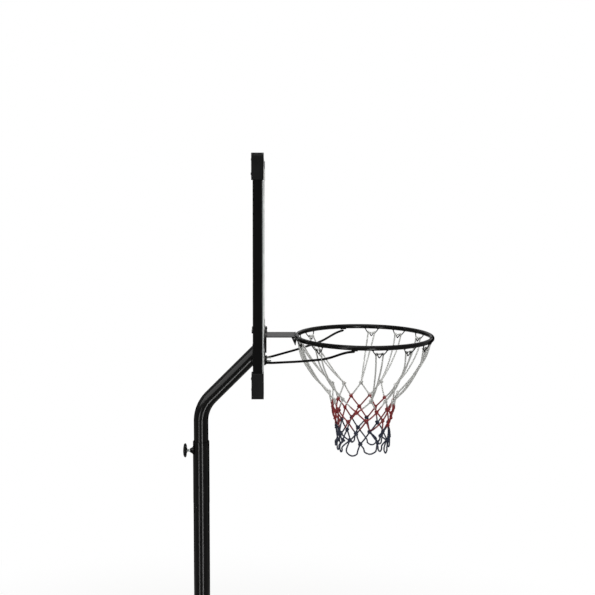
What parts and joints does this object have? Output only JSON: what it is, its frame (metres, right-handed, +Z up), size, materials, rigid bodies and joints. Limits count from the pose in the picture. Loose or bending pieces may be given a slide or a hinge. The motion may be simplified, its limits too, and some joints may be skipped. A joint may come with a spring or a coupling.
{
  "type": "basketball stand",
  "caption": "Portable basketball stand: a filled tank base carries a telescoping bent mast with a framed clear backboard, a solid rim and a net.",
  "frame": {"origin": "on the mast's axis, on the flat underside of the tank", "axes": "+Z up along the mast, +X from the mast towards the hoop, +Y to the left seen from behind the board"},
  "size_m": [1.707, 1.09, 3.1845],
  "materials": {
    "black_steel": "glossy black powder coat",
    "zinc_steel": "zinc plated",
    "black_plastic": "moulded, lightly textured",
    "clear_sheet": "clear sheet with a printed border",
    "net_cord": "braided cord in white, red and blue"
  },
  "bodies": {
    "stand": {"axle_cap_left": "zinc_steel", "axle_cap_right": "zinc_steel", "base_tank": "black_plastic", "bottom_pole": "black_steel", "clamp_tube": "black_steel", "middle_pole": "black_steel", "pole_bolt": "zinc_steel", "pole_nut": "zinc_steel", "strut_bolt": "zinc_steel", "strut_foot_bolt_left": "zinc_steel", "strut_foot_bolt_right": "zinc_steel", "strut_left": "black_steel", "strut_nut": "zinc_steel", "strut_right": "black_steel", "wheel_axle": "zinc_steel"},
    "hoop_assembly": {"backboard_sheet": "clear_sheet", "centre_rail_left": "black_steel", "centre_rail_right": "black_steel", "corner_cap_bottom_left": "black_plastic", "corner_cap_bottom_right": "black_plastic", "corner_cap_top_left": "black_plastic", "corner_cap_top_right": "black_plastic", "frame_bottom": "black_steel", "frame_left": "black_steel", "frame_right": "black_steel", "frame_top": "black_steel", "mast_bracket": "black_steel", "net": "net_cord", "net_hook_01": "black_steel", "net_hook_02": "black_steel", "net_hook_03": "black_steel", "net_hook_04": "black_steel", "net_hook_05": "black_steel", "net_hook_06": "black_steel", "net_hook_07": "black_steel", "net_hook_08": "black_steel", "net_hook_09": "black_steel", "net_hook_10": "black_steel", "net_hook_11": "black_steel", "rim": "black_steel", "rim_back_plate": "black_steel", "rim_bolt_lower_left": "zinc_steel", "rim_bolt_lower_right": "zinc_steel", "rim_bolt_upper_left": "black_steel", "rim_bolt_upper_right": "black_steel", "rim_brace_left": "black_steel", "rim_brace_right": "black_steel", "rim_net_tab": "black_steel", "rim_nut_lower_left": "zinc_steel", "rim_nut_lower_right": "zinc_steel", "rim_nut_upper_left": "black_steel", "rim_nut_upper_right": "black_steel", "rim_top_plate": "black_steel", "upper_mast": "black_steel"},
    "clamp_screw": {"clamp_screw": "zinc_steel"},
    "clamp_knob": {"clamp_knob": "black_plastic"},
    "left_wheel": {"wheel_left": "black_plastic"},
    "right_wheel": {"wheel_right": "black_plastic"},
    "filler_cap": {"filler_cap": "black_plastic"}
  },
  "joints": [
    {"name": "height_slide", "type": "slide", "parent": "stand", "child": "hoop_assembly", "axis": [0, 0, 1], "range_m": [0, 0.48]},
    {"name": "clamp_screw_travel", "type": "slide", "parent": "stand", "child": "clamp_screw", "axis": [-1, 0, 0], "range_m": [0, 0.0046]},
    {"name": "clamp_knob_turn", "type": "hinge", "parent": "clamp_screw", "child": "clamp_knob", "pos_m": [-0.0559, 0, 2.167], "axis": [-1, 0, 0], "range_deg": [0, 1080]},
    {"name": "left_wheel_spin", "type": "hinge", "parent": "stand", "child": "left_wheel", "pos_m": [0.105, 0.25, 0.075], "axis": [0, 1, 0], "continuous": true},
    {"name": "right_wheel_spin", "type": "hinge", "parent": "stand", "child": "right_wheel", "pos_m": [0.105, -0.25, 0.075], "axis": [0, 1, 0], "continuous": true},
    {"name": "filler_cap_lift", "type": "slide", "parent": "stand", "child": "filler_cap", "axis": [0, 0, 1], "range_m": [0, 0.12]}
  ],
  "couplings": [
    {"joint": "clamp_screw_travel", "follows": "clamp_knob_turn", "m_per_rad": 0.00023873}
  ]
}
